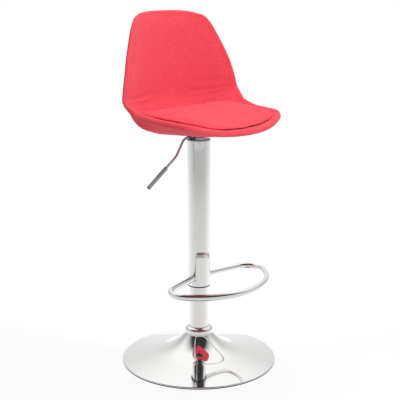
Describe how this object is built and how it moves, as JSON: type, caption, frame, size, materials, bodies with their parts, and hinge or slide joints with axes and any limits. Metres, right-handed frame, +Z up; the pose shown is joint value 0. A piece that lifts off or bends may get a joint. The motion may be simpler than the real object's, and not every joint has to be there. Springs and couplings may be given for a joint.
{
  "type": "adjustable swivel stool",
  "caption": "Bar-height swivel stool with an upholstered bucket seat, gas-lift column, release lever, tubular footrest loop and trumpet base.",
  "frame": {"origin": "on the floor under the centre of the base, on the column's axis", "axes": "+Z up along the column, the seat faces -Y, the release lever is on the sitter's right at -X"},
  "size_m": [0.42, 0.4, 0.8962],
  "materials": {
    "bright_chrome": "polished",
    "plain_steel": "machined",
    "black_paint": "satin",
    "black_plastic": "matte",
    "grey_plastic": "satin",
    "black_rubber": "matte",
    "brass": "machined",
    "shell_plastic": "matte",
    "red_fabric": "fine weave"
  },
  "bodies": {
    "base": {"base_dish": "bright_chrome", "floor_ring": "black_plastic", "base_socket": "plain_steel", "base_ribs": "plain_steel", "base_collar": "bright_chrome", "stand_tube": "bright_chrome", "guide_bush": "black_plastic", "lower_race": "plain_steel"},
    "rod": {"upper_race": "plain_steel", "bearing_balls": "plain_steel", "ball_cage": "black_plastic", "bumper": "black_rubber", "retaining_clip": "plain_steel", "piston_rod": "plain_steel", "piston": "plain_steel", "piston_ring": "black_rubber"},
    "seat": {"gas_cylinder": "black_paint", "rod_gland": "black_rubber", "cover_tube": "bright_chrome", "cover_lip_bush": "black_plastic", "cover_top_bush": "grey_plastic", "footrest_loop": "bright_chrome", "seat_hub": "black_paint", "seat_plate": "black_paint", "seat_screws": "plain_steel", "screw_washers": "plain_steel", "threaded_inserts": "brass", "lever_bracket": "black_paint", "lever_pivot": "plain_steel", "seat_shell": "shell_plastic", "front_cover": "red_fabric", "rear_panel": "red_fabric", "seat_pad": "red_fabric"},
    "lever": {"lever_rod": "bright_chrome", "lever_grip": "grey_plastic"},
    "pin": {"release_pin": "plain_steel"}
  },
  "joints": [
    {"name": "swivel", "type": "hinge", "parent": "base", "child": "rod", "pos_m": [0, 0, 0], "axis": [0, 0, 1], "continuous": true},
    {"name": "lift", "type": "slide", "parent": "rod", "child": "seat", "axis": [0, 0, 1], "range_m": [0, 0.21]},
    {"name": "release_lever", "type": "hinge", "parent": "seat", "child": "lever", "pos_m": [-0.031, 0, 0.593], "axis": [0, 1, 0], "range_deg": [0, 5.5], "stiffness_Nm_per_rad": 2, "springref_deg": -3.44},
    {"name": "release_pin", "type": "slide", "parent": "seat", "child": "pin", "axis": [0, 0, -1], "range_m": [0, 0.0033]}
  ],
  "couplings": [
    {"joint": "release_pin", "follows": "release_lever", "m_per_rad": 0.031}
  ]
}
